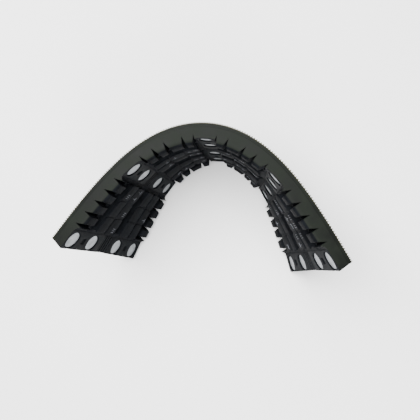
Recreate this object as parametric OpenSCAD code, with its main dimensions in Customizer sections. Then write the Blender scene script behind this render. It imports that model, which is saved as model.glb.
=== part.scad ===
// Open length of moulded rubber track, bent with its tread inside and lying on one side edge.
// The band stands on the floor (z = 0). Five lengths, one for each steel crossbar, flex at four seams.
// Along the band, s is measured from the crown over the running face. Across it, z runs from the
// lower edge to the upper edge. y points out of the running face, so the tread lies at negative y.

/* [Band] */
// Width of the band, from edge to edge
track_w = 230; // [200:1:280]
// Distance between neighbouring crossbars along the band
bar_pitch = 144; // [118:1:174]
// Length that each crossbar holds straight, more than its steel takes up
bar_zone = 7; // [5:0.5:12]
// Length of band left beyond the steel of each end crossbar
end_over = 1; // [0.5:0.1:3]

/* [Bend] */
// Turn of the band between the crown crossbar and its neighbour, degrees
crown_turn = 60; // [48:1:72]
// Turn of the band between that crossbar and the end one, degrees
leg_turn = 12; // [8:1:16]
// Outward lean of the band at the crossbars next to the crown, degrees
mid_lean = 4; // [0:0.5:5]
// Outward lean of the band at the end crossbars, degrees
end_lean = 14; // [0:0.5:17]

/* [Layers] */
// Thickness of the rubber on the running side
running_t = 5; // [4:0.1:7]
// Thickness of the steel cord ply
ply_t = 3; // [2:0.1:4]
// Thickness of the tread-side rubber at the edges
body_t = 17; // [15:0.1:21]
// How much thinner that rubber is at the middle of the band
dish = 4; // [0:0.1:5]

/* [Tread] */
// Distance between neighbouring notches of the shoulder
block_pitch = 22; // [18:0.1:24]
// Width of a shoulder notch at its floor
notch_w = 3.4; // [2.5:0.1:5]
// Width of each row of shoulder blocks
shoulder_w = 32; // [26:1:38]
// Height of the shoulder blocks over the rubber under them
shoulder_h = 9; // [6:0.1:11]
// Height of the middle lugs over the rubber under them
lug_h = 10; // [7:0.1:12]
// Valley between the shoulder blocks and the middle lugs
valley_w = 9; // [6:0.5:14]

/* [Drive ribs] */
// Distance between neighbouring ribs of the running face
rib_pitch = 4; // [4:0.1:6]
// Width of a rib
rib_w = 1.4; // [1:0.1:1.6]
// Height of a rib
rib_h = 1.5; // [1:0.1:1.6]

/* [Crossbars and studs] */
// Width of the steel core bar
core_w = 24; // [20:0.5:28]
// Thickness of the steel core bar
core_t = 6; // [5:0.1:7]
// Distance from the end of the core bar to the edge of the band
core_edge = 7; // [5:0.5:10]
// Diameter of a stud head
head_d = 26; // [22:0.5:31]
// Thickness of a stud head
head_t = 2.5; // [2:0.1:3]
// Depth of the stud head below the panel, measured at the edge of the band
head_sink = 2; // [1.5:0.1:3]
// Diameter of a stud shank
shank_d = 10; // [8:0.5:12]
// Distance from the edge of the band to the centre of the outer studs
outer_stud = 18; // [17:0.5:24]
// Distance from the middle of the band to the centre of the inner studs
inner_stud = 40; // [34:0.5:48]
// Side of the small square recess between two studs
recess_side = 9; // [6:0.5:11]

/* [Centre guide] */
// Width of the grooved guide across the band
guide_w = 26; // [20:0.5:30]
// Thickness of the guide
guide_t = 5; // [4:0.1:6]
// Number of grooves
grooves = 3; // [2:1:4]
// Width of a groove
groove_w = 2.8; // [2:0.1:3.5]
// Depth of a groove
groove_depth = 2.5; // [1.5:0.1:3]

/* [Flex] */
// Furthest that a seam opens, degrees
seam_open = 14; // [8:1:15]
// Furthest that a seam closes, degrees
seam_close = 4; // [2:0.5:6]

/* [Hidden] */
$fn = 48;

PLACES = ["left_end", "left", "crown", "right", "right_end"];
seam_rest = 0.25;      // each length stops this far short of a seam
seam_spare = 1;        // extra relief angle at a seam, degrees
fit = 0.1;             // gap round an insert
flex_step = 5.5;       // length of one facet of the curved rubber
bond = 0.3;            // gap that the bond fills under the ribs and the tread pieces
least_block = 9;       // shortest block, at its foot
shoulder_bevel = 5;    // width of the bevel along a shoulder row
lug_bevel = 8;         // width of the bevel along a middle row
notch_flare = 0.12;    // widening of a notch for each millimetre of height
wall_flare = 0.45;     // slope of the walls that face a crossbar
crown_shift = block_pitch / 2;  // the seams beside the crown lie this much nearer to it

steel_w = max(head_d, core_w);  // the steel of a crossbar takes up this much of the band's length
half_zone = (steel_w + bar_zone) / 2;
end_half = steel_w / 2 + end_over;
flex_len = bar_pitch - 2 * half_zone;
y_ply = -running_t;
y_body = -running_t - ply_t;
y_edge = y_body - body_t;
y_mid = y_edge + dish;
y_cord = -running_t - ply_t / 2;
s_end = 2 * bar_pitch + end_half;
seams = [-1.5 * bar_pitch, crown_shift - bar_pitch / 2, bar_pitch / 2 - crown_shift, 1.5 * bar_pitch];

// Direction of the band at distance a from the crown, as a turn in degrees
function turn(a) =
    a < half_zone ? 0 :
    a < bar_pitch - half_zone ? crown_turn * (a - half_zone) / flex_len :
    a < bar_pitch + half_zone ? crown_turn :
    a < 2 * bar_pitch - half_zone ? crown_turn + leg_turn * (a - bar_pitch - half_zone) / flex_len :
    crown_turn + leg_turn;

// Outward lean at distance a: steady over a crossbar, changing evenly between them
function lean(a) =
    a < half_zone ? 0 :
    a < bar_pitch - half_zone ? mid_lean * (a - half_zone) / flex_len :
    a < bar_pitch + half_zone ? mid_lean :
    a < 2 * bar_pitch - half_zone ?
        mid_lean + (end_lean - mid_lean) * (a - bar_pitch - half_zone) / flex_len :
    end_lean;

// Length of the straight line over an arc of length l that turns from direction p to direction q
function chord(l, p, q) = q == p ? l : 2 * l / ((q - p) * PI / 180) * sin((q - p) / 2);
function hop(l, p, q) = chord(l, p, q) * [cos((p + q) / 2), -sin((p + q) / 2)];

// Place of the foot of the running face at distance a from the crown
STOPS = [0, half_zone, bar_pitch - half_zone, bar_pitch + half_zone, 2 * bar_pitch - half_zone, s_end + 100];
function foot(a, i = 0) =
    a <= STOPS[i + 1] ? hop(a - STOPS[i], turn(STOPS[i]), turn(a)) :
    hop(STOPS[i + 1] - STOPS[i], turn(STOPS[i]), turn(STOPS[i + 1])) + foot(a, i + 1);

function raw(s, y, z) =
    let (a = abs(s), f = foot(a), t = turn(a) * sign(s), b = lean(a), out = y * cos(b) + z * sin(b))
    [f.x * sign(s) + out * sin(t), f.y + out * cos(t), z * cos(b) - y * sin(b)];

// The band is centred over the origin, between the crown ribs and the corners of its ends
y_shift = -(rib_h + raw(s_end, y_edge, 0).y) / 2;
function point(s, y, z) = raw(s, y, z) + [0, y_shift, 0];

module placed(s) {
    translate(point(s, 0, 0))
        rotate([-lean(abs(s)), 0, -turn(abs(s)) * sign(s)])
            children();
}

// How far an end face stands back at height y: a square cut, a seam, a notch or a wall to a crossbar
SQUARE = 0;
SEAM = 1;
NOTCH = 2;
WALL = 3;
function set_back(kind, y) =
    kind == SEAM ? seam_rest + (y > y_cord ? (y - y_cord) * tan(seam_open / 2 + seam_spare)
                                           : (y_cord - y) * tan(seam_close / 2 + seam_spare)) :
    kind == NOTCH ? notch_w / 2 + max(0, y_mid - y) * notch_flare :
    kind == WALL ? max(0, y_mid - y) * wall_flare :
    0;

// Rubber between stations[0] and the last station, over the points of section, [z, outer y, inner y]
module slab(stations, section, first = SQUARE, last = SQUARE) {
    n = len(stations) - 1;
    m = len(section) - 1;
    function id(j, k, side) = (j * (m + 1) + k) * 2 + side;
    function shifted(j, y) = stations[j] + (j == 0 ? set_back(first, y) : j == n ? -set_back(last, y) : 0);
    points = [for (j = [0:n], k = [0:m], side = [1, 2])
        let (y = section[k][side]) point(shifted(j, y), y, section[k].x)];
    function pair(a, b, c, d) = [[a, b, c], [a, c, d]];
    faces = [for (two = concat(
        [for (j = [0:n - 1], k = [0:m - 1])
            pair(id(j, k, 0), id(j, k + 1, 0), id(j + 1, k + 1, 0), id(j + 1, k, 0))],
        [for (j = [0:n - 1], k = [0:m - 1])
            pair(id(j, k, 1), id(j + 1, k, 1), id(j + 1, k + 1, 1), id(j, k + 1, 1))],
        [for (j = [0:n - 1]) pair(id(j, 0, 0), id(j + 1, 0, 0), id(j + 1, 0, 1), id(j, 0, 1))],
        [for (j = [0:n - 1]) pair(id(j, m, 0), id(j, m, 1), id(j + 1, m, 1), id(j + 1, m, 0))],
        [for (k = [0:m - 1]) pair(id(0, k, 0), id(0, k, 1), id(0, k + 1, 1), id(0, k + 1, 0))],
        [for (k = [0:m - 1]) pair(id(n, k, 0), id(n, k + 1, 0), id(n, k + 1, 1), id(n, k, 1))])) each two];
    polyhedron(points = points, faces = faces);
}

// Even stations from a to b, no further apart than a facet
function steps(a, b) = let (n = max(1, ceil((b - a) / flex_step))) [for (i = [0:n]) a + (b - a) * i / n];
function tail(list) = [for (i = [1:len(list) - 1]) list[i]];

function bar_s(i) = (i - 2) * bar_pitch;
function low_s(i) = i == 0 ? -s_end : seams[i - 1];
function high_s(i) = i == 4 ? s_end : seams[i];
function low_cut(i) = i == 0 ? SQUARE : SEAM;
function high_cut(i) = i == 4 ? SQUARE : SEAM;

// Stations of a whole length, with one flat facet over its crossbar
function whole(i) = concat(
    i == 0 ? [-s_end] : steps(low_s(i), bar_s(i) - half_zone),
    i == 4 ? [s_end] : steps(bar_s(i) + half_zone, high_s(i)));

// Edges of the tread rows, where every layer under them has a line of its own
lug_low = shoulder_w + valley_w;
lug_high = (track_w - valley_w) / 2;
half_lines = [0, shoulder_w, lug_low, lug_high];
Z_LINES = concat(half_lines, [track_w / 2], [for (k = [3:-1:0]) track_w - half_lines[k]]);

// Section of an even layer of the band
function layer(y_out, y_in) = [for (z = Z_LINES) [z, y_out, y_in]];

module running_rubber(i) {
    color("#3c403a")
        slab(whole(i), layer(0, y_ply), low_cut(i), high_cut(i));
}

module drive_ribs(i) {
    span = high_s(i) - low_s(i);
    count = floor(span / rib_pitch);
    color("#5a5a3c")
        for (k = [0:count - 1])
            placed(low_s(i) + (k + 0.5) * span / count)
                translate([-rib_w / 2, bond, rib_h])
                    cube([rib_w, rib_h - bond, track_w - 2 * rib_h]);
}

module cord_ply(i) {
    color("#8a7a4a")
        slab(whole(i), layer(y_ply, y_body), low_cut(i), high_cut(i));
}

// Height of the rubber under the tread at z, and of the panels beside it
function floor_y(z) = y_edge + dish * (1 - abs(z - track_w / 2) / (track_w / 2));

// Tread-side rubber between the crossbar and each seam
module carcass(i) {
    section = [for (z = Z_LINES) [z, y_body, floor_y(z)]];
    color("#2b2e2c") {
        if (i > 0)
            slab(steps(low_s(i), bar_s(i) - half_zone), section, SEAM, SQUARE);
        if (i < 4)
            slab(steps(bar_s(i) + half_zone, high_s(i)), section, SQUARE, SEAM);
    }
}

function stud_z() = [outer_stud, track_w / 2 - inner_stud, track_w / 2 + inner_stud, track_w - outer_stud];
y_core = y_body - core_t;                    // inner face of the core bar
function stud_face(z) = floor_y(z) + head_sink;

// Runs along y at height z, from y_low to y_high
module across(d, y_low, y_high, z) {
    translate([0, y_high, z])
        rotate([90, 0, 0])
            cylinder(d = d, h = y_high - y_low);
}

function zone_low(i) = i == 0 ? -end_half : -half_zone;
function zone_high(i) = i == 4 ? end_half : half_zone;

module panel_outline() {
    polygon([[y_body, 0], [y_edge, 0], [y_mid, track_w / 2], [y_edge, track_w], [y_body, track_w]]);
}

// Recessed panel over a crossbar, moulded round the core bar, the studs and the guide
module cross_panel(i) {
    color("#35383a")
        placed(bar_s(i))
            difference() {
                translate([zone_low(i), 0, 0])
                    rotate([90, 0, 90])
                        linear_extrude(zone_high(i) - zone_low(i))
                            panel_outline();
                translate([-core_w / 2 - fit, y_core - fit, core_edge - fit])
                    cube([core_w + 2 * fit, core_t + 2 * fit, track_w - 2 * core_edge + 2 * fit]);
                for (z = stud_z()) {
                    across(shank_d + 2 * fit, y_edge - 1, y_body - 1, z);
                    across(head_d + 2 * fit, y_edge - 1, stud_face(z) + head_t + fit, z);
                }
                translate([zone_low(i) - 1, y_edge - 1, track_w / 2 - guide_w / 2 - fit])
                    cube([2 * half_zone + 2, y_mid + guide_t + fit - y_edge + 1, guide_w + 2 * fit]);
                for (side = [-1, 1])
                    translate([-recess_side / 2, y_edge - 1, (track_w - recess_side) / 2 + side * recess_z])
                        cube([recess_side, recess_depth + 1 + dish / 2, recess_side]);
            }
}
recess_z = (track_w / 2 - outer_stud + inner_stud) / 2;   // the recess lies midway between two studs
recess_depth = 2.5;

module core_bar(i) {
    color("#7d8084")
        placed(bar_s(i))
            difference() {
                translate([-core_w / 2, y_core, core_edge])
                    cube([core_w, core_t - fit, track_w - 2 * core_edge]);
                for (z = stud_z())
                    across(shank_d + fit, y_core - 1, y_body + 1, z);
            }
}

module studs(i) {
    color("#c8cacb")
        placed(bar_s(i))
            for (z = stud_z()) {
                across(shank_d, stud_face(z), y_body - 2 * fit, z);
                across(head_d, stud_face(z), stud_face(z) + head_t, z);
            }
}

module centre_guide(i) {
    pitch = guide_w / (grooves + 1);
    low = (track_w - guide_w) / 2;
    color("#4a4d4f")
        placed(bar_s(i))
            difference() {
                translate([zone_low(i), y_mid, low])
                    cube([zone_high(i) - zone_low(i), guide_t, guide_w]);
                for (k = [1:grooves])
                    translate([-half_zone - 1, y_mid - 1, low + k * pitch - groove_w / 2])
                        cube([2 * half_zone + 2, groove_depth + 1, groove_w]);
            }
}

// Notches of stretch g, between two crossbars, counted out from its seam as far as they fit.
// On the outer stretches the seam takes the place of a notch, and beside the crown it splits a block.
function notches(g) =
    let (inner = g == 1 || g == 2, low = bar_s(g) + half_zone, high = bar_s(g + 1) - half_zone,
         n = ceil(flex_len / block_pitch))
    [for (k = [-n:n])
        let (s = seams[g] + (k - (inner ? sign(k) / 4 : 0)) * block_pitch)
        if (k != 0 && s > low + notch_w && s < high - notch_w) s];

// The cuts across stretch g that bound its blocks: [station, kind] from one crossbar to the next
function cuts(g) =
    concat([[bar_s(g) + half_zone, WALL]],
           [for (s = notches(g)) if (s < seams[g]) [s, NOTCH]],
           [[seams[g], SEAM]],
           [for (s = notches(g)) if (s > seams[g]) [s, NOTCH]],
           [[bar_s(g + 1) - half_zone, WALL]]);

// Every block of stretch g on one side of its seam. A wall with no room for a block stays bare.
module blocks(g, after_seam, section) {
    list = cuts(g);
    for (j = [0:len(list) - 2])
        if ((list[j].x >= seams[g]) == after_seam && list[j + 1].x - list[j].x > least_block)
            slab(steps(list[j].x, list[j + 1].x), section, list[j].y, list[j + 1].y);
}

// Section of one row: from z = a to z = b, height h, with a chamfer of width c along each side
function row(a, b, h, c) = [
    for (side = [[a, h / 2], [a + c, h], [b - c, h], [b, h / 2]])
        let (y = floor_y(side.x)) [side.x, y - bond, y - side.y]];

module shoulder_blocks(i) {
    color("#34373a")
        for (a = [0, track_w - shoulder_w]) {
            section = row(a, a + shoulder_w, shoulder_h, shoulder_bevel);
            if (i > 0)
                blocks(i - 1, true, section);
            if (i < 4)
                blocks(i, false, section);
        }
}

// Two tall lugs side by side, between the shoulder rows
module middle_lugs(i) {
    color("#303336")
        for (a = [lug_low, track_w - lug_high]) {
            section = row(a, a + lug_high - lug_low, lug_h, lug_bevel);
            if (i > 0)
                slab(steps(low_s(i), bar_s(i) - half_zone), section, SEAM, WALL);
            if (i < 4)
                slab(steps(bar_s(i) + half_zone, high_s(i)), section, WALL, SEAM);
        }
}

for (i = [0:4]) {
    running_rubber(i);
    drive_ribs(i);
    cord_ply(i);
    carcass(i);
    cross_panel(i);
    core_bar(i);
    studs(i);
    centre_guide(i);
    shoulder_blocks(i);
    middle_lugs(i);
}
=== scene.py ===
# %% [markdown]
# # Rubber track, laid flat and then bent
# This is an open length of the kind of rubber track that a small digger runs on. Five steel
# crossbars are moulded into it, and the rubber between them flexes. The solids of the packed
# model fix the sizes and the joints. The pieces made here stand close to those solids, on a
# smoother bend.

# %% Load the fixed frame
import math
import random

import bmesh
import bpy
import numpy as np
from mathutils import Matrix, Vector


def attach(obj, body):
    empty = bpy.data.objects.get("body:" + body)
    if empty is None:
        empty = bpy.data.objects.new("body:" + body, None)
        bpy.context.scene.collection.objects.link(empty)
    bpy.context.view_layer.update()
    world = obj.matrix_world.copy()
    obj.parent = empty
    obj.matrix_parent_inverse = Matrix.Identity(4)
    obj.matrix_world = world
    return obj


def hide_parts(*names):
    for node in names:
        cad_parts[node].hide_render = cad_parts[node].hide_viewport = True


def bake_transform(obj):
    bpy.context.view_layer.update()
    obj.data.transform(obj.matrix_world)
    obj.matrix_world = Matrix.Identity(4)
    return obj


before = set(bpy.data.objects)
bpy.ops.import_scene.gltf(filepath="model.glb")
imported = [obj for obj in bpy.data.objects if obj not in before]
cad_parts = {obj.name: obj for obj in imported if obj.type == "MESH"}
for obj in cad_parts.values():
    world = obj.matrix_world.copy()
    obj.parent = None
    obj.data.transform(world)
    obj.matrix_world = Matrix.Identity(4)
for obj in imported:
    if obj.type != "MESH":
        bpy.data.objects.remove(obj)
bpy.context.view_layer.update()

# %% [markdown]
# ## The band as a ruler
# A bent track is awkward to model, so nothing is modelled bent. Each piece is made on a straight
# band, where s runs along it from the crown, y points out of the running face and z runs across
# it. One function then carries every point to its place on the bend. The numbers are real sizes
# in millimetres. The bend and the end cuts are this script's own; the solids bend less evenly.

# %% Sizes of the band and the way it bends
MM = 0.001
TRACK_W = 230
BAR_PITCH = 144
HALF_ZONE = 16.5          # half the length that a crossbar holds straight
S_END = 302               # from the crown to the cut end
END_ZONE = S_END - 2 * BAR_PITCH                   # from the last crossbar to the cut end
RUNNING_T, PLY_T = 5, 3
CORD_Y = -RUNNING_T - PLY_T / 2                    # the cords, about which the band flexes
Y_EDGE, DISH = -25, 4     # the rubber under the tread, and how much thinner it is in the middle
RIB_H = 1.5
FULL_TURN, TURN_REACH = math.radians(72.5), 132    # the turn levels off far from the crown
END_LEAN, LEAN_START = math.radians(15), 113       # the band leans outward more and more
END_SLANT = 0.32          # the end cut slants, so that the tread side is the longer one
Y_SHIFT = 116.4           # from the running face at the crown to the middle of the bend
WALK_STEP, WALK_END = 0.5, 340                     # short steps, to a little past the cut end
WALK = np.arange(0, WALK_END, WALK_STEP)


def turn_of(a):
    """How far the band has turned at distance a from the crown."""
    return FULL_TURN * np.tanh(a / TURN_REACH)


def lean_of(a):
    """How far the band leans outward at distance a: END_LEAN at the last crossbar."""
    whole = np.hypot(2 * BAR_PITCH, LEAN_START) - LEAN_START
    return END_LEAN * (np.hypot(a, LEAN_START) - LEAN_START) / whole


def foot(a):
    """Place of the running face at distance a from the crown, walked in short steps."""
    middles = turn_of(WALK[:-1] + WALK_STEP / 2)
    x = np.append(0, np.cumsum(WALK_STEP * np.cos(middles)))
    y = np.append(0, np.cumsum(-WALK_STEP * np.sin(middles)))
    return np.interp(a, WALK, x), np.interp(a, WALK, y)


def bent(flat):
    """Points of the straight band, in mm, carried to the bent band, in metres."""
    s, y, z = np.asarray(flat, float).reshape(-1, 3).T
    a = abs(s)
    a = a - END_SLANT * (y - Y_EDGE / 2) * np.clip((a - S_END + END_ZONE) / END_ZONE, 0, 1)
    turn, lean = turn_of(a), lean_of(a)
    x_foot, y_foot = foot(a)
    out = y * np.cos(lean) + z * np.sin(lean)
    return MM * np.column_stack([np.sign(s) * (x_foot + out * np.sin(turn)),
                                 y_foot + out * np.cos(turn) + Y_SHIFT,
                                 z * np.cos(lean) - y * np.sin(lean)])


# The solids keep each crossbar flat. Rubber shares a bend out more evenly, so the pieces made
# here follow one smooth curve. It stands off from the solids by up to 8 mm, at the crown and
# along the upper edge.
ends_at = bent([S_END, Y_EDGE, 0])[0]
print("an end corner stands at", [round(float(v), 4) for v in ends_at], "m")

# %% [markdown]
# ## Camera
# The band lies on one side edge. It is seen from nearly straight above, from less than a metre.
# A moderately long lens keeps the near edge only a little larger than the far one. The camera is
# aimed at a point halfway up the band, then rolled by a few degrees.

# %% Aim the camera
CAMERA_AT = Vector((0.1061, -0.0549, 0.9894))
CAMERA_TO = Vector((0.0034, -0.0129, 0.1150))
CAMERA_ROLL = math.radians(4.35)
camera = bpy.data.objects.new("camera", bpy.data.cameras.new("camera"))
bpy.context.scene.collection.objects.link(camera)
camera.data.sensor_width, camera.data.lens = 36, 42.86     # both in millimetres
back = (CAMERA_AT - CAMERA_TO).normalized()
right = Vector((0, 1, 0)).cross(back).normalized()
level = Matrix((right, back.cross(right), back)).transposed()
roll = Matrix.Rotation(CAMERA_ROLL, 4, "Z")
camera.matrix_world = Matrix.Translation(CAMERA_AT) @ level.to_4x4() @ roll
bpy.context.scene.camera = camera
print("camera is", round((CAMERA_AT - CAMERA_TO).length, 3), "m from the band")

# %% [markdown]
# ## Helpers for materials
# Colours are written as sRGB hex values, as in any paint program, and one function turns them to
# the linear numbers that Blender computes with. Another function adds one node with its settings
# and its links, so that a material reads as a short list of steps.

# %% Colour and node helpers


def linear(hex_colour):
    """An sRGB hex colour as linear red, green, blue and alpha."""
    parts = [int(hex_colour[k:k + 2], 16) / 255 for k in (1, 3, 5)]
    return tuple(c / 12.92 if c <= 0.04045 else ((c + 0.055) / 1.055) ** 2.4 for c in parts) + (1,)


def add(tree, kind, inputs=(), **settings):
    """Add a node. Each input is a value, or a socket of another node to link."""
    new = tree.nodes.new("ShaderNode" + kind)
    for name, value in settings.items():
        setattr(new, name, value)
    for name, value in dict(inputs).items():
        if isinstance(value, bpy.types.NodeSocket):
            tree.links.new(value, new.inputs[name])
        else:
            new.inputs[name].default_value = value
    return new


def start_material(name):
    """A new material and its tree, with the shader and the object's own coordinates in it."""
    material = bpy.data.materials.new(name)
    material.use_nodes = True
    tree = material.node_tree
    shader = tree.nodes["Principled BSDF"]
    return material, tree, shader, add(tree, "TexCoord").outputs["Object"]


# %% [markdown]
# ## Moulded track rubber
# Track rubber is natural rubber filled with carbon black, cured in a steel mould. The mould
# leaves a satin skin with a faint grain, and the wax that works out of it gives a greyish,
# slightly green bloom. Rubber has an IOR of about 1.52 and is never metallic.
# One function makes all six rubbers of the band, because they differ only in colour and wear.

# %% Rubber with bloom, mould grain and dust
FACTOR, FIRST, SECOND, MIXED = 0, 6, 7, 2     # the sockets of a Mix node that mixes colours
DUST_COLOUR, DUST_SIZE = "#2a2a27", 0.9       # grey dust, in specks of this size in mm
RUBBER_IOR = 1.52


def track_rubber(name, dark, bloom, roughness, grain, bloom_size=38, shine=0.08):
    """Carbon-black rubber: dark skin, cloudy bloom bloom_size mm across, mould grain in mm."""
    material, tree, shader, place = start_material(name)
    cloud = add(tree, "TexNoise", {"Vector": place, "Scale": 1000 / bloom_size, "Detail": 5.0,
                                   "Roughness": 0.62}).outputs["Fac"]
    spread = add(tree, "MapRange", {"Value": cloud, "From Min": 0.36, "From Max": 0.70})
    tint = add(tree, "Mix", {FACTOR: spread.outputs["Result"], FIRST: linear(dark),
                             SECOND: linear(bloom)}, data_type="RGBA")
    speck = add(tree, "TexNoise", {"Vector": place, "Scale": 1000 / DUST_SIZE, "Detail": 2.0})
    dust = add(tree, "MapRange", {"Value": speck.outputs["Fac"], "From Min": 0.66,
                                  "From Max": 0.80, "To Max": 0.22})
    dusty = add(tree, "Mix", {FACTOR: dust.outputs["Result"], FIRST: tint.outputs[MIXED],
                              SECOND: linear(DUST_COLOUR)}, data_type="RGBA")
    tree.links.new(dusty.outputs[MIXED], shader.inputs["Base Color"])
    worn = add(tree, "MapRange", {"Value": cloud, "From Min": 0.3, "From Max": 0.75,
                                  "To Min": roughness - 0.08, "To Max": roughness + 0.10})
    tree.links.new(worn.outputs["Result"], shader.inputs["Roughness"])
    skin = add(tree, "TexNoise", {"Vector": place, "Scale": 1000 / grain, "Detail": 3.0})
    bump = add(tree, "Bump", {"Height": skin.outputs["Fac"], "Strength": 0.22, "Distance": 0.0004})
    tree.links.new(bump.outputs["Normal"], shader.inputs["Normal"])
    shader.inputs["IOR"].default_value = RUBBER_IOR
    # At the usual level of 0.5 the rubber mirrors the bright floor and turns pale. The real one
    # is nearly matt and very dark, so the level is set far lower.
    shader.inputs["Specular IOR Level"].default_value = shine
    return material


# The side wall is a smooth satin skin straight from the mould, with a faintly green bloom.
wall_rubber = track_rubber("moulded_wall_rubber", "#0c0e0c", "#131712", roughness=0.62, grain=1.6)
# The tread comes from a rougher mould, so it looks darker and drier.
tread_rubber = track_rubber("moulded_tread_rubber", "#08090b", "#121417", roughness=0.72,
                            grain=1.2, bloom_size=22, shine=0.02)
# The panels lie in the shelter of the tread and keep a fine even skin.
panel_rubber = track_rubber("moulded_panel_rubber", "#0b0c0e", "#15181a", roughness=0.65,
                            grain=1.4, bloom_size=30, shine=0.03)
# The running face is polished by the rollers, and an old film of grease makes it faintly olive.
rib_rubber = track_rubber("greasy_running_rubber", "#131310", "#24231a", roughness=0.45,
                          grain=1.0, bloom_size=16)
# The ends of the ribs rub on the guides of the machine, and wear to a dry pale olive.
worn_rubber = track_rubber("worn_rib_rubber", "#302f25", "#4a4838", roughness=0.75,
                           grain=1.0, bloom_size=12)
# The raised figures on the tread are coloured a pale grey as a painted highlight: it stands in
# for the light caught on the edges of the tread blocks.
painted_highlight_rubber = track_rubber("painted_highlight_tread_rubber", "#33353a", "#6d6f74", roughness=0.70,
                              grain=0.9, bloom_size=9)
rubbers = [wall_rubber, tread_rubber, panel_rubber, rib_rubber, worn_rubber, painted_highlight_rubber]
print("rubber finishes:", [material.name for material in rubbers])

# %% [markdown]
# ## Steel and brass
# Three metals are in the band, and one function makes them: bright zinc on the pressed stud heads,
# dark scale on the forged bars, and brass on the cords. All are metallic, and fine parallel
# streaks from pressing and drawing run over them.

# %% Plated and forged metal
CLOUD_SIZE = 9      # the plating is clouded in patches of this size in mm


def plated_steel(name, bright, dull, metallic, roughness, streak):
    """Metal with fine parallel streaks, streak mm apart, and a clouded plating."""
    material, tree, shader, place = start_material(name)
    cloud = add(tree, "TexNoise", {"Vector": place, "Scale": 1000 / CLOUD_SIZE,
                                   "Detail": 4.0}).outputs["Fac"]
    tint = add(tree, "Mix", {FACTOR: cloud, FIRST: linear(dull), SECOND: linear(bright)},
               data_type="RGBA")
    tree.links.new(tint.outputs[MIXED], shader.inputs["Base Color"])
    worn = add(tree, "MapRange", {"Value": cloud, "To Min": roughness + 0.12,
                                  "To Max": roughness - 0.08})
    tree.links.new(worn.outputs["Result"], shader.inputs["Roughness"])
    lines = add(tree, "TexWave", {"Vector": place, "Scale": 1000 / streak / 20 * math.pi,
                                  "Distortion": 1.5}, bands_direction="DIAGONAL")
    bump = add(tree, "Bump", {"Height": lines.outputs["Fac"], "Strength": 0.5, "Distance": 0.0003})
    tree.links.new(bump.outputs["Normal"], shader.inputs["Normal"])
    shader.inputs["Metallic"].default_value = metallic
    return material


# Zinc on the stud heads, dulled by dirt, so a little less metallic than clean steel.
stud_steel = plated_steel("zinc_plated_stud_steel", "#8a8d90", "#5c5f62", metallic=0.9,
                          roughness=0.42, streak=2.2)
# Forging scale on the bars is darker and rougher.
bar_steel = plated_steel("forged_bar_steel", "#6d7072", "#3d3f41", metallic=1.0,
                         roughness=0.55, streak=5.0)
# The cords are drawn thin and plated with brass, to which rubber bonds.
cord_brass = plated_steel("brass_plated_cord_steel", "#c8a865", "#8f7440", metallic=1.0,
                          roughness=0.40, streak=1.5)
print("metals:", [material.name for material in (stud_steel, bar_steel, cord_brass)])

# %% [markdown]
# ## How a piece is made
# Most of this track is long shapes with one cross-section that changes a little along the way, so
# the main tool is a loft: rings of points, joined ring to ring, closed at both ends. A bevel then
# rounds the sharp edges while the piece is still straight, which keeps the roundings even. Only
# then is the piece bent, and its shading split where faces meet at a steep angle.

# %% Loft, soften, bend and finish a piece


def loft(mesh, rings):
    """Add a closed skin over rings of points; every ring goes round the same way."""
    rows = [[mesh.verts.new(point) for point in ring] for ring in rings]
    count = len(rows[0])
    for first, second in zip(rows, rows[1:]):
        for k in range(count):
            after = (k + 1) % count
            mesh.faces.new((first[k], first[after], second[after], second[k]))
    mesh.faces.new(rows[0][::-1])
    mesh.faces.new(rows[-1])


def soften(mesh, width, angle=38):
    """Round every edge that is sharper than angle degrees."""
    sharp = [edge for edge in mesh.edges
             if edge.is_manifold and edge.calc_face_angle(0) > math.radians(angle)]
    bmesh.ops.bevel(mesh, geom=sharp, offset=width, segments=2, profile=0.5, affect="EDGES",
                    clamp_overlap=True)


def finished(name, mesh, *materials, smooth_angle=35):
    """Bend a straight mesh, in mm, and turn it into an object with one or more materials."""
    bmesh.ops.recalc_face_normals(mesh, faces=mesh.faces)
    data = bpy.data.meshes.new(name)
    mesh.to_mesh(data)
    mesh.free()
    flat = np.zeros(len(data.vertices) * 3, np.float32)
    data.vertices.foreach_get("co", flat)
    data.vertices.foreach_set("co", bent(flat).astype(np.float32).ravel())
    data.polygons.foreach_set("use_smooth", [True] * len(data.polygons))
    data.set_sharp_from_angle(angle=math.radians(smooth_angle))
    for material in materials:
        data.materials.append(material)
    data.update()
    piece = bpy.data.objects.new(name, data)
    bpy.context.scene.collection.objects.link(piece)
    return piece


# %% [markdown]
# ## Rigid pieces and rubber that flexes
# Each crossbar and what is moulded round it is stiff, so those pieces ride on one body. The rubber
# between two crossbars is one supple stretch. It is fixed in place on the bend and rides on no
# body.

# %% Bodies, stretches and how they carry a piece
LENGTHS = ["left_end", "left", "crown", "right", "right_end"]
BAR_S = [-2 * BAR_PITCH, -BAR_PITCH, 0, BAR_PITCH, 2 * BAR_PITCH]


def ride_stretch(piece, g, part):
    """Fix stretch g in place, on no body, and let it stand for the rubber of its two crossbars."""
    low, high = LENGTHS[g], LENGTHS[g + 1]
    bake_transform(piece)
    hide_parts(f"{part}_{low}", f"{part}_{high}")


def ride_length(piece, i, part):
    """Let a piece move with crossbar i and stand for the node it shows."""
    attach(piece, LENGTHS[i])
    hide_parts(f"{part}_{LENGTHS[i]}")


def stretch_ends(g):
    """Where stretch g starts and stops: at the crossbars, or at the cut end of the band."""
    return (-S_END if g == 0 else BAR_S[g]), (S_END if g == 3 else BAR_S[g + 1])


def stations(low, high, step):
    """Even places from low to high, no further apart than step."""
    return list(np.linspace(low, high, max(2, math.ceil((high - low) / step) + 1)))


def from_bar(s):
    """Distance along the band from s to the nearest crossbar."""
    return min(abs(s - bar) for bar in BAR_S)


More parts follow.
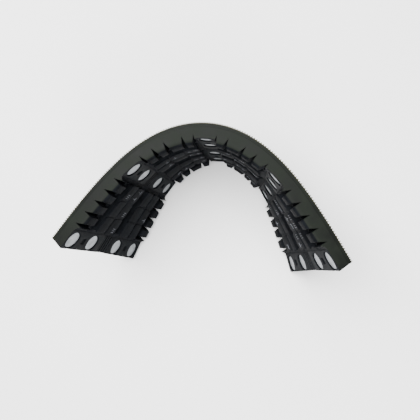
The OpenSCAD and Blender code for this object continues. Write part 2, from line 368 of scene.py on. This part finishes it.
def floor_y(z):
    """Height of the rubber under the tread: the band is thickest at its edges."""
    return Y_EDGE + DISH * (1 - abs(z - TRACK_W / 2) / (TRACK_W / 2))


# %% [markdown]
# ## Running rubber, ribs and cord ply
# The outside of the bend is the running face: five millimetres of rubber with a fine rib every
# four millimetres. Under it lies the ply, a sheet of brass-plated steel cords that carries all
# the pull. Its long edges stop a little way inside the side walls, so they never show. Where the
# band is cut, the ends of the cords show.

# %% Running rubber
FLAT_FACE_Y, ROUNDED_Y = -0.1, -1.3     # above the first lies the flat face, then the rounding
EDGE_ROUND = 1.4


def layer_rings(g, y_out, y_in, edge, rounding):
    """Rings of an even layer, its long edges rounded, edge mm inside the sides of the band."""
    low, high = edge, TRACK_W - edge
    corner = [(0.0, 1.0), (0.3, 0.3), (1.0, 0.0)]
    upper = [(y_out - a * rounding, low + b * rounding) for a, b in corner[::-1]]
    outline = ([(y_in, low)] + upper
               + [(y_out - a * rounding, high - b * rounding) for a, b in corner] + [(y_in, high)])
    return [[(s, y, z) for y, z in outline] for s in stations(*stretch_ends(g), step=2.5)]


for g in range(4):
    mesh = bmesh.new()
    loft(mesh, layer_rings(g, 0, -RUNNING_T, edge=0, rounding=EDGE_ROUND))
    for face in mesh.faces:
        y = face.calc_center_median().y
        face.material_index = 1 if y > FLAT_FACE_Y else 2 if y > ROUNDED_Y else 0
    layer = finished(f"running_rubber_stretch_{g + 1}", mesh, wall_rubber, rib_rubber, worn_rubber)
    ride_stretch(layer, g, "running_rubber")

# %% Drive ribs, round-topped bars across the running face
RIB_PITCH, RIB_FOOT, RIB_TOP = 4, 1.9, 1.1
RIB_ROOT = -0.4     # the ribs are rooted this deep in the running rubber
RIB_END = 3         # the worn length at each end of a rib
# Place across the band, and share of the full height: the ends of a rib are slightly lower.
RIB_PROFILE = [(0, 0.85), (0.4, 1), (RIB_END, 1), (TRACK_W / 2, 1), (TRACK_W - RIB_END, 1),
               (TRACK_W - 0.4, 1), (TRACK_W, 0.85)]

for g in range(4):
    mesh = bmesh.new()
    low, high = stretch_ends(g)
    count = round((high - low) / RIB_PITCH)
    for k in range(count):
        s = low + (k + 0.5) * (high - low) / count
        rings = []
        for z, rise in RIB_PROFILE:
            foot_half, top, y = RIB_FOOT / 2, RIB_TOP / 2, RIB_H * rise
            rings.append([(s - foot_half, RIB_ROOT, z), (s - top, y * 0.85, z),
                          (s - top * 0.5, y, z), (s + top * 0.5, y, z), (s + top, y * 0.85, z),
                          (s + foot_half, RIB_ROOT, z)])
        loft(mesh, rings)
    for face in mesh.faces:
        z = face.calc_center_median().z
        face.material_index = int(min(z, TRACK_W - z) < RIB_END)
    ribs = finished(f"drive_ribs_stretch_{g + 1}", mesh, rib_rubber, worn_rubber)
    ride_stretch(ribs, g, "drive_ribs")
    print("stretch", g + 1, "has", count, "ribs")

# %% Cord ply, with the cord ends at the two cuts
CORD_PITCH, CORD_D, CORD_SIDES = 5, 1.8, 8
# Distance past the cut, and radius, of each ring of a cord end: a short pin with a cut edge.
CORD_END = [(-1.5, CORD_D / 2), (0.25, CORD_D / 2), (0.45, 0.5)]

for g in range(4):
    mesh = bmesh.new()
    loft(mesh, layer_rings(g, -RUNNING_T, -RUNNING_T - PLY_T, edge=1.2, rounding=0.3))
    ride_stretch(finished(f"cord_ply_stretch_{g + 1}", mesh, tread_rubber), g, "cord_ply")

turns = [2 * math.pi * n / CORD_SIDES for n in range(CORD_SIDES)]
for i, side in ((0, -1), (4, 1)):
    mesh = bmesh.new()
    for k in range(1, round(TRACK_W / CORD_PITCH)):
        loft(mesh, [[(side * (S_END + out), CORD_Y + r * math.cos(t),
                      k * CORD_PITCH + r * math.sin(t)) for t in turns] for out, r in CORD_END])
    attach(finished(f"cord_ends_{LENGTHS[i]}", mesh, cord_brass), LENGTHS[i])
print("cords at each cut:", round(TRACK_W / CORD_PITCH) - 1)

# %% [markdown]
# ## Shoulder flanks
# Each long edge of the band is one moulded flank: the side wall, and the row of shoulder blocks
# that grows out of it. Wedge-shaped notches part the blocks. They start as a point on the side wall
# and widen to the tread. The flank is lofted along the band, and every ring is trimmed to a limit
# that depends on where it stands: the notch, the foot of a wall beside a crossbar, or nothing.
# Beside a crossbar panel it thins down to the skin of the side wall.

# %% Where the notches are and how deep the tread may reach
NOTCH_HALF, NOTCH_TIP = 4.4, -17.0     # half its length on the tread, and the height of its point
NOTCH_CURVE = 0.8      # below 1, the sides of a notch bulge slightly
WALL_RUN = 7.5         # length of the hollow wall that leads up from a crossbar panel
PANEL_STEP = 0.6       # beside a panel the flank stops this much short of the tread's foot
SHOULDER_W, SHOULDER_H = 32, 9
OUTER_NOTCHES = [-44, -22, 0, 22, 44]
CROWN_NOTCHES = [-49.5, -27.5, -5.5, 27.5, 49.5]
# Where rings stand: along half a notch, and along the wall beside a panel, as shares of each.
NOTCH_STEPS = [-1.02, -0.97, -0.8, -0.6, -0.4, -0.2, 0, 0.2, 0.4, 0.6, 0.8, 0.97, 1.02]
WALL_STEPS = [-0.01, 0.01, 0.2, 0.4, 0.6, 0.75, 0.88, 0.96, 1]


def notch_places(g):
    """The notches of stretch g, measured along the band."""
    middle = (g - 1.5) * BAR_PITCH
    mirrored = [-v for v in CROWN_NOTCHES]
    offsets = [OUTER_NOTCHES, CROWN_NOTCHES, mirrored, OUTER_NOTCHES][g]
    return sorted(middle + v for v in offsets)


def wall_rise(s, run):
    """0 on a crossbar panel, 1 on the tread, and a hollow wall of length run between them."""
    reach = min(1, max(0, (from_bar(s) - HALF_ZONE) / run))
    return 1 - math.sqrt(1 - reach * reach)


def flank_limit(s, notches):
    """The lowest y that the flank may reach at s, before the dish is added."""
    limit = Y_EDGE + PANEL_STEP - (SHOULDER_H + PANEL_STEP) * wall_rise(s, WALL_RUN)
    gap = min(abs(s - n) for n in notches)
    if gap < NOTCH_HALF:
        full = SHOULDER_H - Y_EDGE + NOTCH_TIP
        limit = max(limit, NOTCH_TIP - full * (gap / NOTCH_HALF) ** NOTCH_CURVE)
    return limit


def flank_stations(g, notches):
    """Even places along the stretch, with close ones at notches and hollow walls."""
    low, high = stretch_ends(g)
    places = set(stations(low, high, step=3))
    for n in notches:
        places |= {n + d * NOTCH_HALF for d in NOTCH_STEPS}
    for bar in BAR_S[g:g + 2]:
        places |= {bar + side * (HALF_ZONE + WALL_RUN * d) for side in (-1, 1) for d in WALL_STEPS
                   if low < bar + side * HALF_ZONE < high}
    return sorted(p for p in places if low <= p <= high)


# %% The flanks, one on each long edge of every stretch
SKIN = 2.4             # beside a crossbar panel the flank is only this thick
END_MARGIN = 0.3       # the last ring is trimmed as if it stood this far inside the cut
TREAD_Y = -24.5        # points below this follow the dish of the tread
WALL_FACE, WALL_Y = 1.0, -12    # faces further in and lower than this are tread, the rest is wall
# Distance from the edge of the band, and height, of each point round the flank.
FLANK = [(SHOULDER_W, -9), (SHOULDER_W, -22), (SHOULDER_W - 0.4, -25.5), (SHOULDER_W - 1.6, -31),
         (SHOULDER_W - 3.0, -33.0), (SHOULDER_W - 5.5, -34), (16, -34), (6.5, -34), (4.6, -33.6),
         (2.6, -32.2), (1.1, -30.4), (0.3, -28.4), (0, -26), (0, -24), (0, -22), (0, -19), (0, -14),
         (0, -8), (0, -5.5), (0.2, -5.1), (0.8, -5.0), (10, -5.0)]


def flank_rings(g, upper, notches):
    """Rings of one flank, trimmed to the notches and walls."""
    rings = []
    for s in flank_stations(g, notches):
        at = min(max(s, -S_END + END_MARGIN), S_END - END_MARGIN)
        beside_panel = from_bar(s) < HALF_ZONE
        ring = []
        for w, y in FLANK:
            w = min(w, SKIN) if beside_panel else w
            z = TRACK_W - w if upper else w
            lift = floor_y(z) - Y_EDGE
            y_limit = flank_limit(at, notches) + lift
            y_point = y + (lift if y < TREAD_Y else 0)
            ring.append((at, max(y_point, min(y_limit, -RUNNING_T)), z))
        rings.append(ring)
    return rings


for g in range(4):
    mesh = bmesh.new()
    for upper in (False, True):
        loft(mesh, flank_rings(g, upper, notch_places(g)))
    for face in mesh.faces:
        _, y, z = face.calc_center_median()
        face.material_index = int(min(z, TRACK_W - z) > WALL_FACE and y < WALL_Y)
    flank = finished(f"shoulder_flanks_stretch_{g + 1}", mesh, wall_rubber, tread_rubber,
                     smooth_angle=28)
    ride_stretch(flank, g, "shoulder_blocks")
    print("stretch", g + 1, "notches at", [round(n, 1) for n in notch_places(g)])

# %% [markdown]
# ## Carcass
# Between the flanks the rubber under the tread is a plain slab with a shallow dish. It fills the
# space from one crossbar panel to the next.

# %% Carcass between the flanks
END_GAP = 0.2       # the slab stops this far from a crossbar panel

for g in range(4):
    mesh = bmesh.new()
    low, high = BAR_S[g] + HALF_ZONE, BAR_S[g + 1] - HALF_ZONE
    lines = [SHOULDER_W - 1, 60, TRACK_W / 2, TRACK_W - 60, TRACK_W - SHOULDER_W + 1]
    back_y = -RUNNING_T - PLY_T
    outline = [(back_y, lines[0])] + [(floor_y(z), z) for z in lines] + [(back_y, lines[-1])]
    loft(mesh, [[(s, y, z) for y, z in outline]
                for s in stations(low + END_GAP, high - END_GAP, step=4)])
    ride_stretch(finished(f"carcass_stretch_{g + 1}", mesh, tread_rubber), g, "carcass")

# %% [markdown]
# ## Middle lugs
# Two broad rows of lugs stand between the shoulders. Each row is a plateau that ends in a hollow
# wall at the crossbars. Flat pads of slightly different heights stand on it, parted by narrow
# sipes. Some pads carry small raised figures, such as a mould leaves, and these are coloured pale
# as a painted highlight, for the light caught on the edges of the tread blocks.

# %% Plateaus of the middle rows
VALLEY_W, LUG_H = 9, 10
ROWS = [(SHOULDER_W + VALLEY_W, (TRACK_W - VALLEY_W) / 2),
        ((TRACK_W + VALLEY_W) / 2, TRACK_W - SHOULDER_W - VALLEY_W)]
PLATEAU_H, LUG_RUN = 8.4, 9.0
LUG_ROOT = 0.5      # a plateau is rooted this deep in the carcass


def row_rings(g, low_z, high_z):
    """Rings of one plateau: rounded sides, and a hollow wall at each crossbar."""
    low, high = BAR_S[g] + HALF_ZONE, BAR_S[g + 1] - HALF_ZONE
    ends = [0.15, 0.3, 0.45, 0.6, 0.75, 0.87, 0.95, 1]
    places = sorted({low + LUG_RUN * d for d in ends} | {high - LUG_RUN * d for d in ends}
                    | set(stations(low + LUG_RUN, high - LUG_RUN, step=4)))
    side = [(0, 0.0), (0.8, 0.30), (2.2, 0.62), (4.2, 0.86), (7.0, 0.97), (11.0, 1.0)]
    rings = []
    for s in places:
        height = PLATEAU_H * wall_rise(s, LUG_RUN)
        surface = ([(low_z + d, height * h) for d, h in side]
                   + [(high_z - d, height * h) for d, h in side[::-1]])
        rings.append([(s, floor_y(low_z) + LUG_ROOT, low_z)]
                     + [(s, floor_y(z) - h, z) for z, h in surface]
                     + [(s, floor_y(high_z) + LUG_ROOT, high_z)])
    return rings


def pad(mesh, s, z, length, width, base, top, taper, skew=0):
    """A lug pad: a block with cut corners, tapered, standing from height base to height top."""
    rings = []
    for height, shrink in ((base, 0), (top - 0.9, taper), (top - 0.25, taper + 0.35),
                           (top, taper + 1.0)):
        a, b = length / 2 - shrink, width / 2 - shrink
        c = min(a, b) * 0.22
        corners = [(-a + c, -b), (a - c, -b), (a, -b + c), (a, b - c), (a - c, b), (-a + c, b),
                   (-a, b - c), (-a, -b + c)]
        rings.append([(s + u + skew * v, floor_y(z + v) - height, z + v) for u, v in corners])
    loft(mesh, rings)


# %% Pads and sipes on the plateaus, and the raised marks on the pads
PADS_ALONG, SIPE = 3, 1.5
PAD_MARGIN = 4      # the pads stay this far from the sides of the plateau
draw = random.Random(7)


def raised_mark(mesh, s, z, top, kind):
    """A small raised figure made of straight bars: a tally, a corner or a tee."""
    bars = {"tally": [(-3.6, 0, 1.2, 8), (0, 0, 1.2, 8), (3.6, 0, 1.2, 8)],
            "corner": [(-4.4, 0, 1.2, 10), (0, 4.4, 9, 1.2)],
            "tee": [(0, 0, 1.2, 10), (0, -5, 9, 1.2)]}[kind]
    for along, across, length, width in bars:
        pad(mesh, s + along, z + across, length, width, top - 0.4, top + 0.8, taper=0.05)


for g in range(4):
    mesh, marks = bmesh.new(), bmesh.new()
    inset = HALF_ZONE + LUG_RUN * 0.6
    low, high = BAR_S[g] + inset, BAR_S[g + 1] - inset
    for low_z, high_z in ROWS:
        loft(mesh, row_rings(g, low_z, high_z))
        run = (high - low) / PADS_ALONG
        for k in range(PADS_ALONG):
            s = low + (k + 0.5) * run
            split = draw.uniform(0.36, 0.64)
            span = high_z - low_z - 2 * PAD_MARGIN
            for a, b in ((0, split), (split, 1)):
                z = low_z + PAD_MARGIN + span * (a + b) / 2
                width = span * (b - a) - SIPE
                top = LUG_H - draw.choice([0, 0.4, 0.8])
                pad(mesh, s, z, run - SIPE, width, PLATEAU_H * 0.8, top, taper=0.5,
                    skew=draw.uniform(-0.12, 0.12))
                for side in draw.choice([(), (-1,), (1,), (-1, 1)]):
                    raised_mark(marks, s + side * run * 0.22,
                                z + draw.uniform(-0.15, 0.15) * width, top,
                                draw.choice(["tally", "tally", "corner", "tee"]))
    ride_stretch(finished(f"middle_lugs_stretch_{g + 1}", mesh, tread_rubber), g, "middle_lugs")
    # The raised marks take the pale rubber, a painted highlight on the tread.
    ride_stretch(finished(f"tread_marks_stretch_{g + 1}", marks, painted_highlight_rubber), g, "middle_lugs")

# %% [markdown]
# ## Crossbar panels
# Over each crossbar the tread leaves a flat panel. Round wells are moulded in it for the stud
# heads, with a small square pocket between two studs and a slot for the centre guide.

# %% Panels with wells, pockets and a slot
HEAD_D, HEAD_T, HEAD_SINK = 26, 2.5, 2
STUD_Z = [18, 75, 155, 212]
POCKET_Z, POCKET = [46.5, 183.5], 9
GUIDE_W, GUIDE_T = 26, 5
UNDER_PLY = -8.2       # panels and bars start here, just under the ply
EDGE_SINK = 0.5        # the panel is slightly rounded down at its two outer lines
WELL_GAP, WELL_FLARE = 0.35, 4.2       # the gap round a head, and the flare of the cutting cone
SLOT_HALF = 13.4       # half the width of the slot for the guide


def end_limits(i):
    """Where the panel of crossbar i starts and stops along the band, from its centre."""
    return (-END_ZONE if i == 0 else -HALF_ZONE), (END_ZONE if i == 4 else HALF_ZONE)


def straight(rings):
    """A straight object made from rings: a blank panel, or a tool to subtract from it."""
    mesh = bmesh.new()
    loft(mesh, rings)
    bmesh.ops.recalc_face_normals(mesh, faces=mesh.faces)
    data = bpy.data.meshes.new("straight")
    mesh.to_mesh(data)
    mesh.free()
    tool = bpy.data.objects.new("straight", data)
    bpy.context.scene.collection.objects.link(tool)
    return tool


def circle(s, z, y, r, count=56):
    """A ring of points round a stud, at height y."""
    turns = [2 * math.pi * n / count for n in range(count)]
    return [(s + r * math.cos(t), y, z + r * math.sin(t)) for t in turns]


def square(s, z, y, half):
    """A square ring of points at height y."""
    return [(s + a * half, y, z + b * half) for a, b in ((-1, -1), (1, -1), (1, 1), (-1, 1))]


def panel(i):
    """The panel of crossbar i, straight, as a mesh with its wells, pockets and slot cut."""
    low, high = (BAR_S[i] + v for v in end_limits(i))
    lines = [0.35, 0.9, 30, 60, TRACK_W / 2, TRACK_W - 60, TRACK_W - 30, TRACK_W - 0.9,
             TRACK_W - 0.35]
    outline = ([(UNDER_PLY, lines[0])]
               + [(floor_y(z) + (EDGE_SINK if k in (0, 8) else 0), z) for k, z in enumerate(lines)]
               + [(UNDER_PLY, lines[-1])])
    body = straight([[(s, y, z) for y, z in outline] for s in (low, high)])
    tools = []
    for z in STUD_Z:
        face, r = floor_y(z), HEAD_D / 2 + WELL_GAP
        tools.append(straight([circle(BAR_S[i], z, face - 3, r + WELL_FLARE),
                               circle(BAR_S[i], z, face + 0.9, r + 0.3),
                               circle(BAR_S[i], z, face + HEAD_SINK + HEAD_T + 0.2, r)]))
    for z in POCKET_Z:
        tools.append(straight([square(BAR_S[i], z, floor_y(z) - 1, POCKET / 2 + 1.0),
                               square(BAR_S[i], z, floor_y(z) + 2.5, POCKET / 2 - 0.4)]))
    near, far = TRACK_W / 2 - SLOT_HALF, TRACK_W / 2 + SLOT_HALF
    tools.append(straight([[(s, -30, near), (s, -30, far), (s, -16, far), (s, -16, near)]
                           for s in (low - 2, high + 2)]))
    for tool in tools:
        cut = body.modifiers.new("cut", "BOOLEAN")
        cut.operation, cut.solver, cut.object = "DIFFERENCE", "EXACT", tool
    graph = bpy.context.evaluated_depsgraph_get()
    mesh = bmesh.new()
    mesh.from_mesh(bpy.data.meshes.new_from_object(body.evaluated_get(graph)))
    for old in [body, *tools]:
        bpy.data.objects.remove(old)
    soften(mesh, 0.45, angle=50)
    return mesh


for i in range(5):
    ride_length(finished(f"cross_panel_{LENGTHS[i]}", panel(i), panel_rubber), i, "cross_panel")
print("panels:", len(LENGTHS), "with", len(STUD_Z), "wells each")

# %% [markdown]
# ## Studs and centre guide
# A stud is a pressed steel head on a turned shank, so its outline is turned on a lathe: rings of
# growing and shrinking radius. The guide is a rubber rib block with three grooves.

# %% Studs
SHANK_R, SHANK_END = 5.0, -8.4     # the shank stops just short of the ply


def stud(mesh, s, z):
    """One stud: a flat domed head with a rolled rim, and its shank down to the ply."""
    face = floor_y(z) + HEAD_SINK
    rim, back = HEAD_D / 2, face + HEAD_T
    outline = [(face + 0.15, 3.0), (face + 0.05, 8.0), (face, rim - 1.6), (face + 0.25, rim - 0.6),
               (face + 0.9, rim), (back - 0.3, rim), (back, rim - 0.4), (back, 5.6),
               (back + 0.6, SHANK_R), (SHANK_END, SHANK_R)]
    loft(mesh, [circle(s, z, y, r, count=48) for y, r in outline])


for i in range(5):
    mesh = bmesh.new()
    for z in STUD_Z:
        stud(mesh, BAR_S[i], z)
    ride_length(finished(f"studs_{LENGTHS[i]}", mesh, stud_steel), i, "studs")
print("studs:", len(LENGTHS) * len(STUD_Z))

# %% Centre guides
GROOVES, GROOVE_W, GROOVE_DEPTH = 3, 2.8, 2.5


def guide_outline():
    """Section of the guide: rounded ribs between the grooves, as (height, across)."""
    low, pitch = (TRACK_W - GUIDE_W) / 2, GUIDE_W / (GROOVES + 1)
    top = Y_EDGE + DISH - 0.3
    points = [(top + GUIDE_T, low), (top + 0.7, low), (top, low + 0.8)]
    for k in range(1, GROOVES + 1):
        a, b = low + k * pitch - GROOVE_W / 2, low + k * pitch + GROOVE_W / 2
        deep = top + GROOVE_DEPTH
        points += [(top, a - 0.6), (top + 0.5, a), (deep - 0.5, a + 0.2), (deep, a + 0.7),
                   (deep, b - 0.7), (deep - 0.5, b - 0.2), (top + 0.5, b), (top, b + 0.6)]
    high = low + GUIDE_W
    return points + [(top, high - 0.8), (top + 0.7, high), (top + GUIDE_T, high)]


for i in range(5):
    mesh = bmesh.new()
    low, high = (BAR_S[i] + v for v in end_limits(i))
    loft(mesh, [[(s, y + sink, z) for y, z in guide_outline()]
                for s, sink in ((low, 0.5), (low + 0.6, 0), (high - 0.6, 0), (high, 0.5))])
    ride_length(finished(f"centre_guide_{LENGTHS[i]}", mesh, panel_rubber), i, "centre_guide")
print("centre guides:", len(LENGTHS), "with", GROOVES, "grooves each")

# %% [markdown]
# ## Core bars
# The forged bars lie inside the rubber and never show. They are remade all the same, because they
# have to lie under the ply of the evenly bent band and behind the stud heads.

# %% Forged bars with rounded edges
BAR_W, BAR_T, BAR_EDGE = 24, 6, 7     # BAR_EDGE is the rubber left at each end of a bar

for i in range(5):
    mesh = bmesh.new()
    low, high = BAR_S[i] - BAR_W / 2, BAR_S[i] + BAR_W / 2
    face, back = UNDER_PLY, UNDER_PLY - BAR_T
    loft(mesh, [[(low, face, z), (high, face, z), (high, back, z), (low, back, z)]
                for z in stations(BAR_EDGE, TRACK_W - BAR_EDGE, step=12)])
    soften(mesh, 0.8)
    ride_length(finished(f"core_bar_{LENGTHS[i]}", mesh, bar_steel), i, "core_bar")
print("core bars:", len(LENGTHS))

# %% [markdown]
# ## Floor and light
# The track lies on a plain pale floor, under a wide soft light from above and a pale sky all round.

# %% Floor, sky and lamps
floor_data = bpy.data.meshes.new("floor")
floor_data.from_pydata([(-4, -4, 0), (4, -4, 0), (4, 4, 0), (-4, 4, 0)], [], [(0, 1, 2, 3)])
floor = bpy.data.objects.new("floor", floor_data)
bpy.context.scene.collection.objects.link(floor)
floor.location.z = -0.0005      # half a millimetre down, so that it never cuts the rubber
floor_material, _, shader, _ = start_material("pale_studio_floor")
shader.inputs["Base Color"].default_value = linear("#fbfbfb")
shader.inputs["Roughness"].default_value = 0.9
floor_data.materials.append(floor_material)

world = bpy.data.worlds.new("studio")
bpy.context.scene.world = world
world.use_nodes = True
sky = world.node_tree.nodes["Background"]
sky.inputs["Color"].default_value = (1, 1, 1, 1)
sky.inputs["Strength"].default_value = 0.5


def softbox(name, place, aim, size, power):
    """A square lamp of that size in metres, aimed at a point."""
    lamp = bpy.data.objects.new(name, bpy.data.lights.new(name, "AREA"))
    lamp.data.size, lamp.data.energy = size, power
    lamp.location = place
    lamp.rotation_euler = (Vector(place) - Vector(aim)).to_track_quat("Z", "Y").to_euler()
    bpy.context.scene.collection.objects.link(lamp)


softbox("overhead", (-0.5, 0.6, 2.1), (0, 0, 0.1), 1.8, 200)
softbox("front", (0.6, -1.7, 1.3), (0, 0, 0.1), 1.2, 50)
